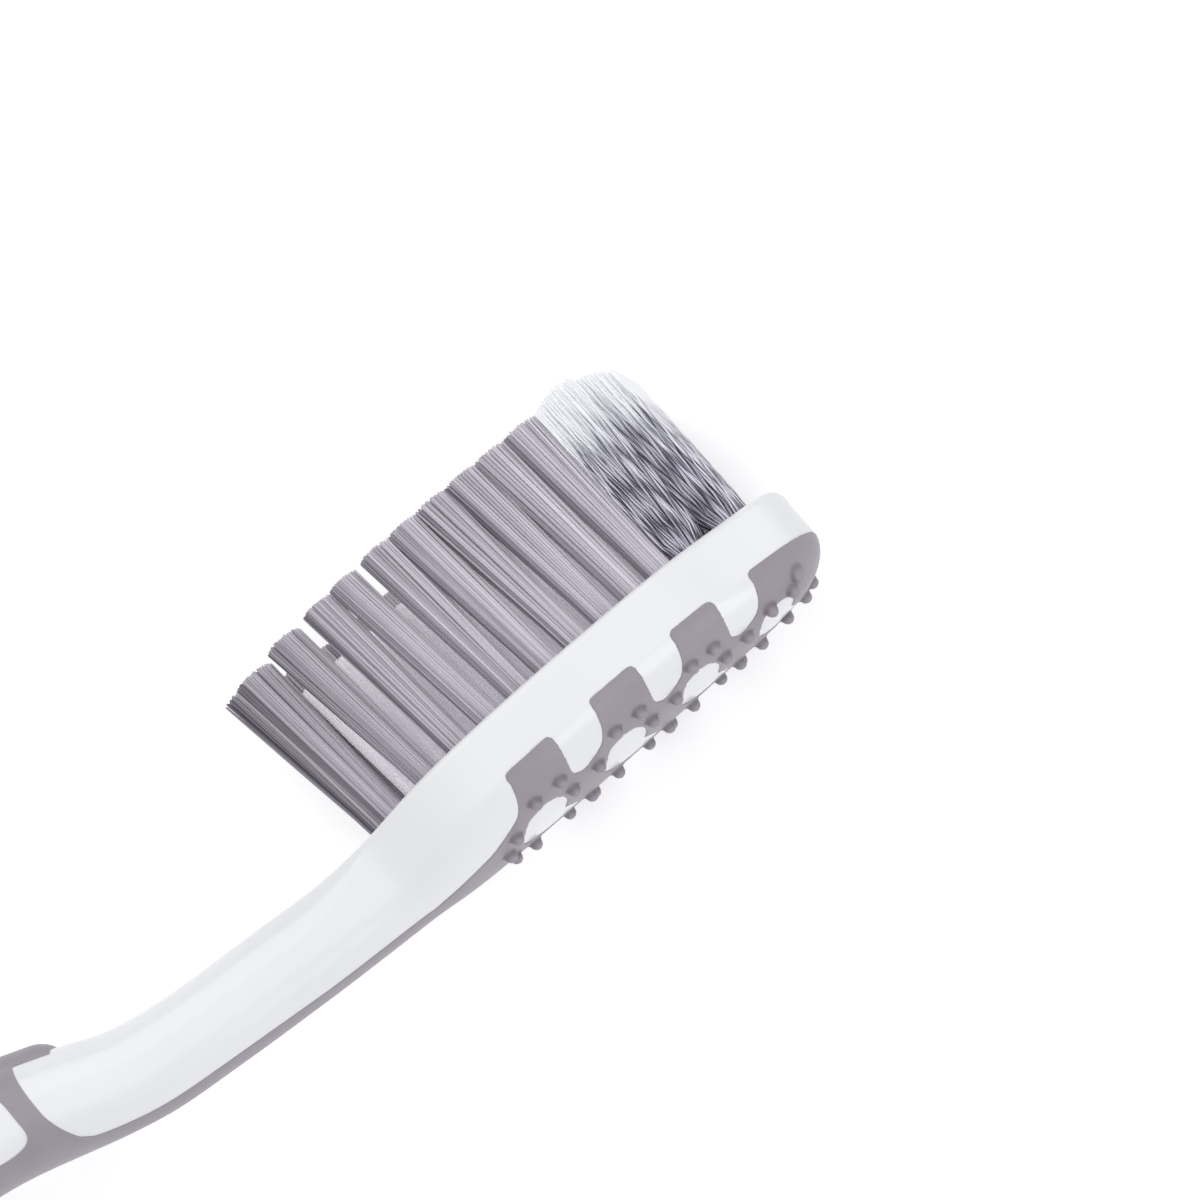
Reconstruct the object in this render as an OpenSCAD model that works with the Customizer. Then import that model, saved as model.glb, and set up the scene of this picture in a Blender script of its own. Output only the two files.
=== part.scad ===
// Manual toothbrush, lying on its side.
// X runs along the brush towards the toe of the head, Y points where the bristles point,
// and Z is up, across the width of the brush. The origin is under the middle of the brush.

/* [Body] */
// Length of the whole brush
brush_l = 190; // [170:1:210]
// Length of the head
head_l = 29; // [26:0.5:33]
// Length of the slim neck behind the head
neck_l = 21; // [18:0.5:26]
// Width of the head and of the handle where it is widest
head_w = 12.6; // [11.5:0.1:14]
// Width of the neck where it is slimmest
neck_w = 6; // [5:0.1:7]
// Thickness of the head
head_t = 5.4; // [5:0.1:6.5]
// Thickness of the neck where it is slimmest
neck_t = 5.5; // [4.8:0.1:6.5]
// Thickness of the handle where it is thickest
handle_t = 11.5; // [9:0.1:13]
// Height of the handle's middle line over the bristle face, where it is highest
handle_rise = 5.9; // [4:0.1:8]
// Radius of the edge round the bristle face
face_edge_r = 0.5; // [0.3:0.1:0.9]
// Radius of the head's nose in plan
toe_r = 3; // [2.2:0.1:4]
// Length of the rounding under the head's nose
toe_back_r = 4.5; // [3:0.25:5]
// Length of the rounding at the tail end
tail_r = 5; // [3:0.5:6]

/* [Soft plastic] */
// Thickness of the soft plastic
soft_t = 0.8; // [0.6:0.05:1]
// Distance from the first row of the tongue cleaner to the second
cleaner_pitch = 6.05; // [5.8:0.05:6.3]
// Distance from the toe to the heel edge of the first tab of the tongue cleaner
first_tab_from_toe = 20.6; // [20:0.1:21]
// Distance from the toe to the point of the first window
first_window_from_toe = 23.5; // [23:0.1:24]
// How much closer to the toe the last window stands than the others' spacing puts it
toe_window_shift = 0.5; // [0:0.05:0.5]
// Drop from the bristle face to the top of the tabs
tab_drop = 3.15; // [3:0.05:3.6]
// Diameter of a nub
nub_d = 0.8; // [0.6:0.05:1]
// Height of a nub
nub_h = 0.6; // [0.4:0.05:0.9]
// Half width of the stripe down the back of the neck, at the head
stripe_half_w = 1; // [0.7:0.05:1.3]
// Distance from the toe to the front edge of the first side band
band_from_toe = 52.4; // [51:0.1:54]
// Width of a side band
band_w = 1.3; // [1:0.1:2]
// Length of a window between the side bands
side_window_l = 13; // [10:0.5:14]
// How far the thumb pad stands proud
thumb_rise = 0.57; // [0.3:0.01:0.8]
// Length of the thumb pad
thumb_l = 48; // [40:1:55]
// Length of the rounding at the front of the thumb pad
thumb_nose_l = 0.9; // [0.6:0.05:1.3]
// Distance from the tail to the end of the back strip
strip_end_from_tail = 17; // [14:1:25]

/* [Tufts] */
// Diameter of a tuft hole
hole_d = 1.6; // [1.4:0.05:1.8]
// Diameter of a tuft hole at the toe
tip_hole_d = 1.9; // [1.7:0.05:2.1]
// Depth of a tuft hole
hole_depth = 3; // [2.6:0.1:3.2]
// Height of the outer bristles at the heel
outer_h = 10.85; // [9:0.05:12]
// How much taller the outer bristles are in the middle of the head
outer_crown = 0.25; // [0:0.05:0.5]
// How much taller the last tuft at the heel is
heel_extra_h = 0.4; // [0:0.05:0.6]
// Height of the inner bristles
inner_h = 8.6; // [7:0.05:9]
// Height of the bristles at the toe
tip_h = 11.4; // [10:0.1:12]
// Drop of the rounded tips at the toe, from their peak to a point above the toe
tip_round = 3.15; // [1:0.05:5]
// Lean of the outer bristles towards the heel
outer_lean = 6; // [0:0.5:8]
// Lean of the inner bristles towards the heel
inner_lean = 4; // [0:0.5:6]
// Lean of the bristles at the toe towards the heel
tip_lean = 2; // [0:0.5:3]
// Strands in each tuft
strands = 10; // [8:1:11]
// Width of a strand
strand_d = 0.28; // [0.2:0.01:0.3]
// Sides of a strand
strand_sides = 4; // [3:1:4]
// Side swing of a crimped strand at the toe
crimp = 0.07; // [0:0.01:0.08]

/* [Tuft anchors] */
// Thickness of the metal of an anchor
anchor_t = 0.25; // [0.2:0.01:0.3]
// Height of an anchor
anchor_h = 1.4; // [1.2:0.1:1.6]
// How far each end of an anchor bites into the wall of its hole
anchor_bite = 0.15; // [0.1:0.01:0.2]
// Gap round a tuft and its anchor
fit_gap = 0.03; // [0.02:0.005:0.05]

/* [Hidden] */
outer_count = 10;
inner_count = 9;
tip_count = 5;
side_windows = 5;
cleaner_cells = 4;
overrun = 1;
hole_steps = 32;
hair = soft_t / 10;
handle_l = brush_l - head_l - neck_l;
half_w = head_w / 2;
thumb_from_toe = band_from_toe - 1.6 * band_w;
bands_end = band_from_toe + band_w + side_windows * (side_window_l + band_w);
strip_end = brush_l - strip_end_from_tail;
reach = brush_l / 8;

// Half widths seen from above, as rows of [share of the length, share of the half width].
head_plan_shares = [
    [0, 0.46], [0.07, 0.5], [0.12, 0.59], [0.17, 0.71], [0.22, 0.8], [0.29, 0.88],
    [0.36, 0.925], [0.44, 0.965], [0.52, 0.995], [0.6, 1], [0.67, 0.99], [0.78, 0.925],
    [0.85, 0.84], [0.92, 0.69], [0.965, 0.58]
];
neck_plan_shares = [[0, 1.06], [0.1, 1.005], [0.3, 1], [0.6, 1.01], [0.85, 1.03]];
handle_plan_shares = [
    [0, 0.53], [0.05, 0.62], [0.11, 0.8], [0.17, 0.93], [0.22, 1], [0.43, 1], [0.64, 1],
    [0.75, 0.94], [0.9, 0.82], [1, 0.74]
];

// Side views, as rows of [share of the length, height of the middle line, thickness].
head_side_shares = [[0, -0.5, 1], [0.3, -0.5, 1], [0.6, -0.5, 1], [0.9, -0.5, 1]];
neck_side_shares = [
    [0.03, -0.465, 0.955], [0.15, -0.437, 0.965], [0.4, -0.355, 1], [0.65, -0.271, 0.995], [0.85, -0.166, 1.036]
];
handle_side_shares = [
    [0, 0.019, 0.549], [0.05, 0.412, 0.597], [0.11, 0.736, 0.782], [0.17, 0.92, 0.91], [0.25, 1, 1],
    [0.4, 0.96, 1], [0.55, 0.78, 0.95], [0.7, 0.46, 0.88], [0.85, 0.06, 0.8], [1, -0.4, 0.68]
];

// The same rows in real sizes, as [place, value] from the toe to the tail.
half_width_rows = concat(
    [for (s = head_plan_shares) [head_l * s[0], half_w * s[1]]],
    [for (s = neck_plan_shares) [head_l + neck_l * s[0], neck_w / 2 * s[1]]],
    [for (s = handle_plan_shares) [head_l + neck_l + handle_l * s[0], half_w * s[1]]]
);
middle_rows = concat(
    [for (s = head_side_shares) [head_l * s[0], head_t * s[1]]],
    [for (s = neck_side_shares) [head_l + neck_l * s[0], neck_t * s[1]]],
    [for (s = handle_side_shares) [head_l + neck_l + handle_l * s[0], handle_rise * s[1]]]
);
thickness_rows = concat(
    [for (s = head_side_shares) [head_l * s[0], head_t * s[2]]],
    [for (s = neck_side_shares) [head_l + neck_l * s[0], neck_t * s[2]]],
    [for (s = handle_side_shares) [head_l + neck_l + handle_l * s[0], handle_t * s[2]]]
);

// Shape of the section: how much of the half width the flat face takes, and where the straight
// side starts and ends, as shares of the thickness.
waist = head_l + neck_l * 0.3;
neck_end = head_l + neck_l;
palm = neck_end + handle_l * 0.22;
flat_rows_of_shares = [[0, 1], [head_l * 0.9, 1], [waist, 0.03], [neck_end, 0.06], [palm, 0.2], [brush_l, 0.1]];
side_top_shares = [[0, 0], [head_l * 0.9, 0], [waist, 0.46], [neck_end, 0.45], [palm, 0.35], [brush_l, 0.44]];
side_low_shares = [[0, 0.54], [head_l, 0.54], [waist, 0.5], [neck_end, 0.52], [palm, 0.62], [brush_l, 0.52]];

// Outlines of the tongue cleaner, in rows of [share of the row's length, share of the half width].
// Each row is cell_shrink_share as long as the one before it.
cell_shrink_share = 0.92;
heel_web_shares = [[0.66, 0.38], [0.465, 0.41], [0.33, 0.487], [0.19, 0.588]];
scallop_shares = [[-0.49, 0.476], [-0.28, 0.571]];
tab_heel_shares = [[-0.175, 0.65], [-0.088, 0.778], [-0.026, 0.905], [0, 0.984], [0, 1.3]];
tab_toe_shares = [[0.54, 1.3], [0.54, 0.984], [0.488, 0.794], [0.426, 0.571], [0.461, 0.5]];
drop_shares = [
    [0.08, 0], [0.167, 0.2], [0.227, 0.3], [0.29, 0.385], [0.4, 0.44], [0.526, 0.46],
    [0.63, 0.4], [0.67, 0.28], [0.655, 0.16], [0.61, 0.05], [0.585, 0]
];
nub_shares = [[0.117, 0.37], [0.49, 0.645], [0.787, 0.635], [0.79, 0.336]];
toe_nub_shares = [[0.117, 0.37], [0.526, 0.52], [0.85, 0.47], [1.01, 0.6]];
heel_nub_shares = [[-0.066, 0.11]];
stripe_shares = [
    [0, 1], [0.25, 1], [0.5, 1.2], [0.74, 1.3], [0.88, 1.7], [0.95, 2.2], [0.98, 2.7], [1, 3.4]
];

// Places of the tufts, as shares of the length of the head.
outer_place_shares = [0.935, 0.831, 0.746, 0.668, 0.593, 0.522, 0.451, 0.382, 0.317, 0.255];
inner_place_shares = [0.869, 0.793, 0.721, 0.648, 0.576, 0.503, 0.434, 0.362, 0.297];
tip_place_shares = [[0.193, 0], [0.193, 0.63], [0.193, -0.63], [0.102, 0.456], [0.102, -0.456]];
heel_place_share = 0.974;
tip_peak_share = 0.164;
outer_rim_share = 0.24;
inner_row_share = 0.238;

function clamp(x, low, high) = min(max(x, low), high);

// Smooth curve through rows of [place, value]. It never swings past a row's value.
function rise(rows, i) = (rows[i + 1][1] - rows[i][1]) / (rows[i + 1][0] - rows[i][0]);
function row_slope(rows, i) =
    let (before = rise(rows, max(i - 1, 0)), after = rise(rows, min(i, len(rows) - 2)))
    before * after <= 0 ? 0 : 2 * before * after / (before + after);
function row_before(rows, place, i = 0) =
    i + 2 >= len(rows) || place < rows[i + 1][0] ? i : row_before(rows, place, i + 1);
function curve(rows, place) =
    let (
        i = row_before(rows, place),
        gap = rows[i + 1][0] - rows[i][0],
        t = clamp((place - rows[i][0]) / gap, 0, 1)
    )
    rows[i][1] * (1 + 2 * t) * (1 - t) * (1 - t)
    + rows[i + 1][1] * t * t * (3 - 2 * t)
    + gap * t * (1 - t) * ((1 - t) * row_slope(rows, i) - t * row_slope(rows, i + 1));

// Height of a quarter circle of radius r at a distance from its end, from 0 to 1.
function nose(distance, r) =
    let (left = clamp(1 - distance / r, 0, 1))
    sqrt(1 - left * left);

function middle(u) = curve(middle_rows, u);
function thickness(u) = curve(thickness_rows, u);
function plan_half(u) = curve(half_width_rows, u);
function top_of(u) = middle(u) + thickness(u) / 2;
function back_of(u) = middle(u) - thickness(u) / 2;
function side_low(u) = top_of(u) - thickness(u) * curve(side_low_shares, u);
function thumb_lift(u) =
    thumb_rise * nose(u - thumb_from_toe, thumb_nose_l) * nose(thumb_from_toe + thumb_l - u, 4 * band_w);
function back_surface(u, w) =
    let (share = clamp(abs(w) / (plan_half(u) * nose(u, toe_r)), 0, 0.95))
    side_low(u) - (side_low(u) - back_of(u)) * nose(u, toe_back_r) * sqrt(1 - share * share);

// One cross-section at u from the toe, moved in by inset and raised on top by lift, which fades
// towards the sides.
corner_steps = 4;
fade_angle = 26;
back_steps = 6;
function section(u, inset, lift) =
    let (
        tail_end = nose(brush_l - inset - u, tail_r),
        tail_drop = (1 - tail_end) * thickness(u) / 3,
        a = max((plan_half(u) - inset) * nose(u - inset, toe_r) * tail_end, hair),
        edge = min(face_edge_r, a / 2),
        top = top_of(u) - inset - face_edge_r * (1 - nose(u - inset, face_edge_r)) - tail_drop,
        low = side_low(u),
        back = low - max((low - back_of(u) - inset) * nose(u - inset, toe_back_r) * tail_end, hair),
        flat = clamp(a * curve(flat_rows_of_shares, u), hair / 4, a - edge),
        high = min(top - edge, top_of(u) - thickness(u) * curve(side_top_shares, u)),
        right = concat(
            [for (k = [0:corner_steps])
                let (turn = 90 * k / corner_steps)
                [flat + (a - flat) * sin(turn),
                high + (top - high) * cos(turn) + lift * nose(fade_angle - turn, fade_angle)]],
            [for (k = [0:back_steps - 1])
                [a * cos(90 * k / back_steps), low - (low - back) * sin(90 * k / back_steps)]]
        )
    )
    concat(right, [[0, back]], [for (k = [len(right) - 1:-1:0]) [-right[k][0], right[k][1]]]);

// Stations along the brush, closer together where the ends are round.
end_steps = 6;
head_steps = 14;
neck_steps = 9;
handle_steps = 24;
all_stations = concat(
    [for (k = [0:end_steps]) toe_r * (1 - cos(90 * k / end_steps))],
    [for (k = [1:head_steps]) toe_r + (head_l - toe_r) * k / head_steps],
    [for (k = [1:neck_steps]) head_l + neck_l * k / neck_steps],
    [for (k = [1:handle_steps]) neck_end + (handle_l - tail_r) * k / handle_steps],
    [for (k = [1:end_steps]) brush_l - tail_r * (1 - sin(90 * k / end_steps))]
);
thumb_stations = [for (share = [0, 0.3, 1]) thumb_from_toe + thumb_nose_l * share];
stations_with_thumb = concat(
    [for (u = all_stations) if (u < thumb_stations[0]) u],
    thumb_stations,
    [for (u = all_stations) if (u > thumb_stations[2]) u]
);
function stations(from, to) =
    concat([from], [for (u = stations_with_thumb) if (u > from + hair && u < to - hair) u], [to]);

// Closed solid through the sections from one place to another.
module sweep(from, to, inset = 0, lifted = false) {
    rings = [for (u = stations(from, to))
        [for (p = section(u, inset, lifted ? thumb_lift(u) : 0)) [-u, p[1], p[0]]]];
    n = len(rings[0]);
    last = (len(rings) - 1) * n;
    sides = [for (i = [0:n:last - n]) for (j = [0:n - 1])
        let (a = i + j, b = i + (j + 1) % n)
        each [[a, b, a + n], [b, b + n, a + n]]];
    toe_cap = [for (j = [1:n - 2]) [0, j + 1, j]];
    tail_cap = [for (j = [1:n - 2]) [last, last + j, last + j + 1]];
    polyhedron([for (r = rings) each r], concat(toe_cap, sides, tail_cap));
}

// Prisms of outlines drawn from the side, in [place, height], and from the back, in [place, half width].
module side_prism(outline) {
    translate([0, 0, -half_w - overrun])
        linear_extrude(2 * (half_w + overrun)) polygon([for (p = outline) [-p[0], p[1]]]);
}
module back_prism(outline, top, depth) {
    translate([0, top, 0])
        rotate([90, 0, 0]) linear_extrude(depth) polygon([for (p = outline) [-p[0], p[1]]]);
}
function mirrored(outline) =
    concat(outline, [for (k = [len(outline) - 1:-1:0]) if (outline[k][1] != 0) [outline[k][0], -outline[k][1]]]);

// The tongue cleaner's outline, from the stripe at the heel to the tab round the toe.
function cell_length(k) = cleaner_pitch * pow(cell_shrink_share, k);
function cell_start(first, k) = k == 0 ? first : cell_start(first, k - 1) - cell_length(k - 1);
function cell_rows(rows, first, k) =
    [for (s = rows) let (u = cell_start(first, k) - cell_length(k) * s[0]) [u, plan_half(u) * s[1]]];
function cleaner_edge(k) = concat(
    k == 0 ? [] : cell_rows(scallop_shares, first_tab_from_toe, k),
    cell_rows(tab_heel_shares, first_tab_from_toe, k),
    k == cleaner_cells - 1 ? [] : cell_rows(tab_toe_shares, first_tab_from_toe, k)
);
heel_web = [for (s = heel_web_shares)
    let (u = first_tab_from_toe + (head_l - first_tab_from_toe) * s[0]) [u, plan_half(u) * s[1]]];
cleaner_outline = mirrored(concat(
    [[head_l, stripe_half_w]],
    heel_web,
    [for (k = [0:cleaner_cells - 1]) each cleaner_edge(k)],
    [[-overrun, half_w + overrun]]
));

function window_rows(k) = cell_rows(
    drop_shares, first_window_from_toe - (k == cleaner_cells - 1 ? toe_window_shift : 0), k
);

module cleaner_zone() {
    difference() {
        back_prism(cleaner_outline, -tab_drop, head_t);
        for (k = [0:cleaner_cells - 1])
            back_prism(mirrored(window_rows(k)), -tab_drop + overrun, head_t + 2 * overrun);
    }
}

function nub_places(k) =
    cell_rows(k == cleaner_cells - 1 ? toe_nub_shares : nub_shares, first_window_from_toe, k);
all_nubs = concat(
    cell_rows(heel_nub_shares, first_window_from_toe, 0),
    [for (k = [0:cleaner_cells - 1]) each nub_places(k)]
);

module nub(u, w) {
    r = nub_d / 2;
    root = soft_t / 2;
    translate([-u, back_surface(u, w) + root, w]) rotate([90, 0, 0]) rotate_extrude() {
        square([r, root + nub_h - r]);
        translate([0, root + nub_h - r]) intersection() {
            circle(r);
            square(r);
        }
    }
}

module tongue_cleaner() {
    color("#8f878a") placed() {
        difference() {
            intersection() {
                sweep(0, head_l + overrun);
                cleaner_zone();
            }
            sweep(soft_t, head_l + overrun, soft_t);
        }
        for (p = all_nubs) {
            nub(p[0], p[1]);
            nub(p[0], -p[1]);
        }
    }
}

// The grip, drawn from the side: thumb pad and bands, less the windows, and the back strip.
pad_wrap = thumb_rise * 0.6;
strip_share = 0.14;
pad_share = 0.8;
window_steps = 24;
function places(from, to, steps) = [for (k = [0:steps]) from + (to - from) * k / steps];
function squared(x) = sign(x) * pow(abs(x), 0.45);
function window_outline(k) =
    let (start = band_from_toe + band_w + k * (side_window_l + band_w))
    [for (i = [0:window_steps - 1])
        let (
            angle = 360 * i / window_steps,
            u = start + side_window_l / 2 * (1 + squared(cos(angle))),
            share = (strip_share + pad_share + (pad_share - strip_share) * squared(sin(angle))) / 2
        )
        [u, back_of(u) + thickness(u) * share]];

module grip_zone() {
    difference() {
        side_prism(concat(
            [for (u = places(thumb_from_toe, band_from_toe, 4)) [u, top_of(u) - pad_wrap]],
            [[band_from_toe, -reach], [bands_end, -reach], [bands_end, reach], [thumb_from_toe, reach]]
        ));
        for (k = [0:side_windows - 1]) side_prism(window_outline(k));
    }
    side_prism(concat(
        [for (u = places(bands_end, strip_end, 12))
            [u, back_of(u) + thickness(u) * strip_share * nose(strip_end - u, band_w * 2)]],
        [[strip_end, -reach], [bands_end, -reach]]
    ));
    intersection() {
        back_prism(
            mirrored([for (s = stripe_shares)
                [head_l + (band_from_toe - head_l) * s[0], stripe_half_w * s[1]]]),
            reach, 2 * reach
        );
        side_prism(concat(
            [for (u = places(head_l, band_from_toe, 8)) [u, middle(u)]],
            [[band_from_toe, -reach], [head_l, -reach]]
        ));
    }
}

module grip() {
    color("#8f878a") placed() difference() {
        intersection() {
            sweep(head_l - overrun, strip_end + overrun, 0, true);
            grip_zone();
        }
        sweep(head_l - overrun, strip_end + overrun, soft_t);
    }
}

// Tufts, as rows of [place, side, lean, hole diameter, height].
function outer_height(u) = outer_h + outer_crown * sin(180 * u / head_l);
function tip_height(u) = tip_h - tip_round * pow(u / (head_l * tip_peak_share) - 1, 2);
outer_tufts = [for (s = outer_place_shares)
    let (u = head_l * s) [u, plan_half(u) - half_w * outer_rim_share, outer_lean, hole_d, outer_height(u)]];
inner_tufts = [for (s = inner_place_shares)
    [head_l * s, half_w * inner_row_share, inner_lean, hole_d, inner_h]];
tip_tufts = [for (s = tip_place_shares)
    let (u = head_l * s[0]) [u, plan_half(u) * s[1], tip_lean, tip_hole_d, tip_height(u)]];
heel_tuft_row = [head_l * heel_place_share, 0, outer_lean, hole_d, outer_h + heel_extra_h];
function far(row) = [row[0], -row[1], row[2], row[3], row[4]];
all_tufts = concat(
    outer_tufts, [for (t = outer_tufts) far(t)],
    inner_tufts, [for (t = inner_tufts) far(t)],
    [heel_tuft_row], tip_tufts
);

module at_tuft(t) {
    translate([-t[0], 0, t[1]]) rotate([0, 0, t[2]]) rotate([-90, 0, 0]) children();
}

// Where an anchor lies in its hole, grown by gap on every side. Its fold of bristles passes below it.
fold = anchor_h / 3;
module anchor_block(t, gap) {
    translate([-anchor_t / 2 - gap, -t[3] / 2 - anchor_bite - gap, -hole_depth + fold - gap])
        cube([anchor_t + 2 * gap, t[3] + 2 * (anchor_bite + gap), anchor_h + 2 * gap]);
}

// One bristle strand through a list of points, each end cut square.
module strand(path) {
    rings = [for (p = path) [for (j = [0:strand_sides - 1])
        p + strand_d / 2 * [cos(360 * j / strand_sides), sin(360 * j / strand_sides), 0]]];
    n = strand_sides;
    last = (len(path) - 1) * n;
    sides = [for (i = [0:n:last - n]) for (j = [0:n - 1])
        let (a = i + j, b = i + (j + 1) % n)
        each [[a, a + n, b], [b, a + n, b + n]]];
    caps = [for (j = [1:n - 2]) each [[0, j, j + 1], [last, last + j + 1, last + j]]];
    polyhedron([for (r = rings) each r], concat(sides, caps));
}

// Places of the strands in a tuft: a sunflower's seeds, so that all stand about as far apart.
spread_share = 0.8;
flare_share = 0.82;
tip_flare_share = 1.15;
seed_turn = 137.5;
crimp_steps = 6;
function seed(i, r) = r * sqrt((i + 0.5) / strands) * [cos(seed_turn * i), sin(seed_turn * i), 0];
function strand_path(i, t, crimped) =
    let (
        base = seed(i, t[3] / 2 * spread_share),
        tip = seed(i, t[3] / 2 * (crimped ? tip_flare_share : flare_share)),
        root = hole_depth / 8,
        from = [base[0], base[1], -root],
        own_h = crimped ? tip_height(t[0] - tip[0]) : t[4] / cos(t[2]),
        to = [tip[0], tip[1], own_h]
    )
    !crimped ? [from, to]
    : [for (k = [0:crimp_steps])
        from + (to - from) * k / crimp_steps + [crimp * (k % 2 == 0 ? 1 : -1), 0, 0]];

module tuft(t, tint, crimped = false) {
    color(tint) placed() at_tuft(t) {
        difference() {
            translate([0, 0, -hole_depth + fit_gap])
                cylinder(hole_depth - 2 * fit_gap, d = t[3] - 2 * fit_gap, $fn = hole_steps);
            anchor_block(t, fit_gap);
        }
        for (i = [0:strands - 1]) strand(strand_path(i, t, crimped));
    }
}

module tuft_anchors() {
    color("#b9a77c") placed() for (t = all_tufts) at_tuft(t) anchor_block(t, 0);
}

module handle() {
    color("#f2f3f5") placed() difference() {
        sweep(0, brush_l);
        difference() {
            cleaner_zone();
            sweep(soft_t, head_l + overrun, soft_t);
        }
        difference() {
            grip_zone();
            sweep(head_l - overrun, strip_end + overrun, soft_t);
        }
        for (t = all_tufts) at_tuft(t) {
            translate([0, 0, -hole_depth]) cylinder(hole_depth + overrun, d = t[3], $fn = hole_steps);
            anchor_block(t, fit_gap);
        }
    }
}

// Puts the brush on its side, with the origin under the middle of its box.
module placed() {
    box_middle = (handle_rise + handle_t / 2 + thumb_rise - head_t - nub_h) / 2;
    translate([brush_l / 2, -box_middle, half_w]) children();
}

function names(stem, count) = [for (k = [1:count]) str(stem, k)];
outer_near = names("outer_tuft_near_", outer_count);
outer_far = names("outer_tuft_far_", outer_count);
inner_near = names("inner_tuft_near_", inner_count);
inner_far = names("inner_tuft_far_", inner_count);
tip_names = names("tip_tuft_", tip_count);

handle();
tongue_cleaner();
grip();
tuft_anchors();
tuft(heel_tuft_row, "#857f88");  // heel_tuft
for (k = [0:outer_count - 1]) {
    tuft(outer_tufts[k], "#a49da6");
    tuft(far(outer_tufts[k]), "#a49da6");
}
for (k = [0:inner_count - 1]) {
    tuft(inner_tufts[k], "#d9d5de");
    tuft(far(inner_tufts[k]), "#d9d5de");
}
for (k = [0:tip_count - 1])
    tuft(tip_tufts[k], "#6d6b78", true);
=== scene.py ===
import math
import random

import bpy
import numpy as np
from mathutils import Matrix, Vector


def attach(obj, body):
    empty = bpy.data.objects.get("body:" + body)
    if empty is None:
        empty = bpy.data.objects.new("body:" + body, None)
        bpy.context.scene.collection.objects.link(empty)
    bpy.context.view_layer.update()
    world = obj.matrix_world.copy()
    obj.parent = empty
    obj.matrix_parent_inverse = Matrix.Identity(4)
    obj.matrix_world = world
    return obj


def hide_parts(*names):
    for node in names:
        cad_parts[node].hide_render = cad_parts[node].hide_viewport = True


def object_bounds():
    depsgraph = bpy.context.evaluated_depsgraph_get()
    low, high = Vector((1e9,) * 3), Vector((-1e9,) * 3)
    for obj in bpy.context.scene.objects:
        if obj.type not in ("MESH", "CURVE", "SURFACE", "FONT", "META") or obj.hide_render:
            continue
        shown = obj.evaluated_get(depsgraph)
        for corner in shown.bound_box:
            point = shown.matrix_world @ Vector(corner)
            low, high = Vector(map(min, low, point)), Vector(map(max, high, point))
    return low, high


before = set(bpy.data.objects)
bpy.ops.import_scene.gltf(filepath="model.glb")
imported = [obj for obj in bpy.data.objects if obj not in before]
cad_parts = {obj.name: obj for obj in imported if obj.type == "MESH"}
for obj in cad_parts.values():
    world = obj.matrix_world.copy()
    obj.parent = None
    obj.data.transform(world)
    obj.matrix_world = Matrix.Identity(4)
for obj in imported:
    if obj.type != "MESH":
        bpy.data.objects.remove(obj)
cadBox = [list(corner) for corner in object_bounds()]

# The pieces are modelled in millimetres, in the brush's own places: u from the toe along the
# brush, v over the bristle face, w to the side. They are brought to metres when they are done.
mm = 0.001
toeX = 95.0
faceY = -3.11
middleZ = 6.3
quarter = math.pi / 2
fullTurn = 2 * math.pi
mergeGap = 0.001  # points nearer than this are merged
closestPlaces = 0.01  # rings keep at least this far apart
ringsPerMm = 500  # how finely the places of rings are told apart
past = 1  # how far blocks and skins run on past what they meet
blockReach = 9  # how far below the bristle face the cleaner's blocks reach


def spot(u, v, w):
    return Vector((toeX - u, faceY + v, middleZ + w))


def clamp(x, low, high):
    return min(max(x, low), high)


def pickOnly(piece):
    if bpy.context.mode != "OBJECT":
        bpy.ops.object.mode_set(mode="OBJECT")
    bpy.ops.object.select_all(action="DESELECT")
    piece.select_set(True)
    bpy.context.view_layer.objects.active = piece


def applyPlace():
    bpy.ops.object.transform_apply(location=True, rotation=True, scale=True)


def editAll():
    bpy.ops.object.mode_set(mode="EDIT")
    bpy.ops.mesh.select_all(action="SELECT")


def extrudeBy(step):
    bpy.ops.mesh.extrude_region_move(TRANSFORM_OT_translate={"value": step})


# Ends an edit, with all faces turned out.
def facedOut():
    bpy.ops.mesh.select_all(action="SELECT")
    bpy.ops.mesh.normals_make_consistent(inside=False)
    bpy.ops.object.mode_set(mode="OBJECT")


def withModifier(piece, kind, **settings):
    pickOnly(piece)
    step = piece.modifiers.new(kind.lower(), kind)
    for key, value in settings.items():
        setattr(step, key, value)
    bpy.ops.object.modifier_apply(modifier=step.name)
    return piece


def cutWith(piece, other, how="DIFFERENCE"):
    withModifier(piece, "BOOLEAN", operation=how, object=other, solver="EXACT")
    bpy.data.objects.remove(other)
    return piece


def joined(pieces):
    pickOnly(pieces[0])
    for piece in pieces[1:]:
        piece.select_set(True)
    bpy.ops.object.join()
    return bpy.context.object


def copyOf(piece, name):
    twin = bpy.data.objects.new(name, piece.data.copy())
    bpy.context.scene.collection.objects.link(twin)
    twin.matrix_world = piece.matrix_world
    return twin


def finishPiece(piece, name, nodes, material, smoothAngle=None):
    pickOnly(piece)
    piece.name = name
    piece.data.name = name
    piece.scale = (mm, mm, mm)
    applyPlace()
    if smoothAngle is None:
        bpy.ops.object.shade_smooth()
    else:
        bpy.ops.object.shade_smooth_by_angle(angle=math.radians(smoothAngle))
    piece.data.materials.clear()
    piece.data.materials.append(material)
    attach(piece, "root")
    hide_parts(*nodes)
    return piece


# Smooth curve through rows of (place, value), which never swings past a row's value.
def riseOf(rows, i):
    return (rows[i + 1][1] - rows[i][1]) / (rows[i + 1][0] - rows[i][0])


def slopeAt(rows, i):
    before = riseOf(rows, max(i - 1, 0))
    after = riseOf(rows, min(i, len(rows) - 2))
    return 0 if before * after <= 0 else 2 * before * after / (before + after)


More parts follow.
